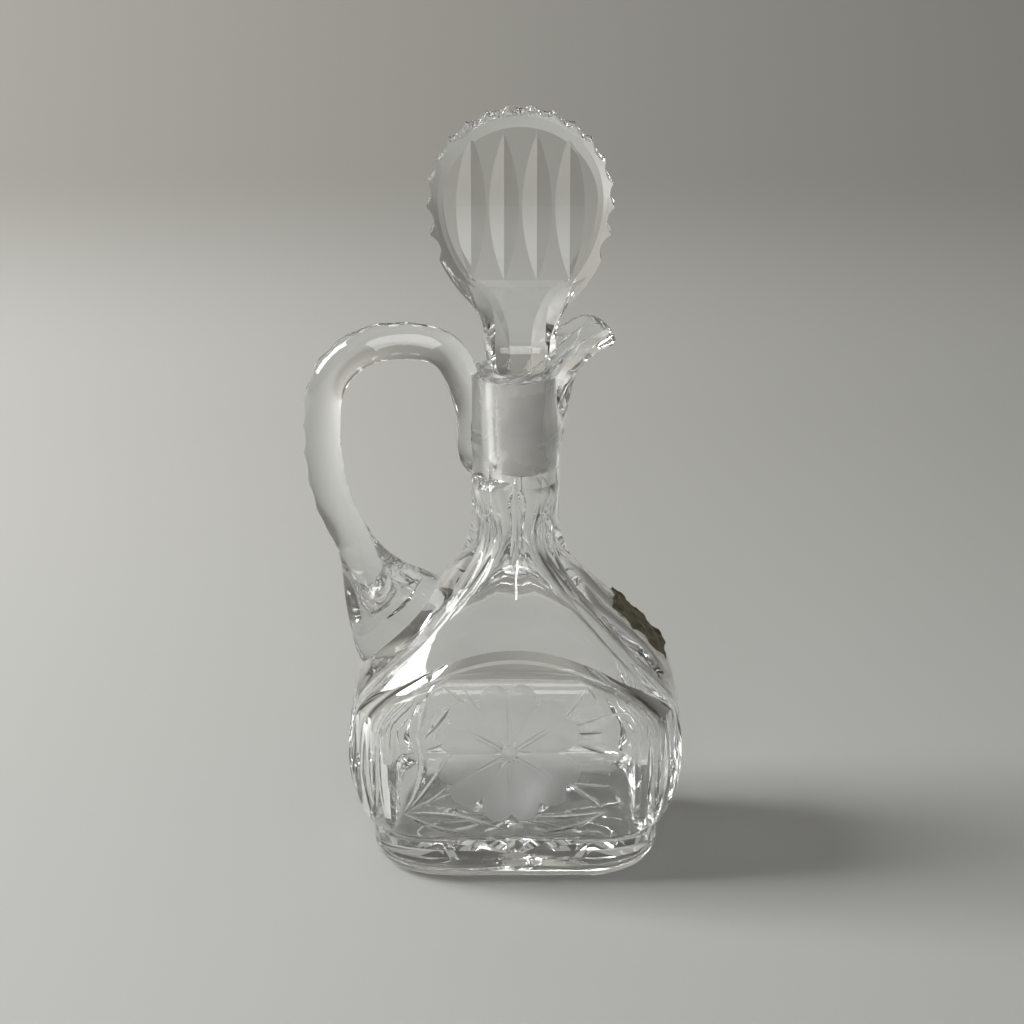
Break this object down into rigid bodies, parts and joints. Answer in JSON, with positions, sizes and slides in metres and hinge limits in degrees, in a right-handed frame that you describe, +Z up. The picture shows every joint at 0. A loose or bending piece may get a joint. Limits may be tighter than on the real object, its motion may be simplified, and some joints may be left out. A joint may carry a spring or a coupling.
{
  "type": "liqueur carafe",
  "caption": "Small cut glass carafe with a handle, a pouring lip and a ground stopper, for holding and pouring liqueur.",
  "frame": {"origin": "middle of the foot's flat underside, on the table", "axes": "+Z up the neck, +X towards the pouring lip, -X towards the handle, -Y towards the engraved front face"},
  "size_m": [0.1057, 0.066, 0.2145],
  "materials": {
    "crystal": "clear polished lead crystal with mitre cuts, its face engraved matt",
    "stopper_crystal": "clear polished lead crystal, its plug ground matt",
    "foil": "bare dull gold foil label, slightly creased"
  },
  "bodies": {
    "root": {"carafe": "crystal", "stopper": "stopper_crystal", "label": "foil"}
  },
  "joints": []
}
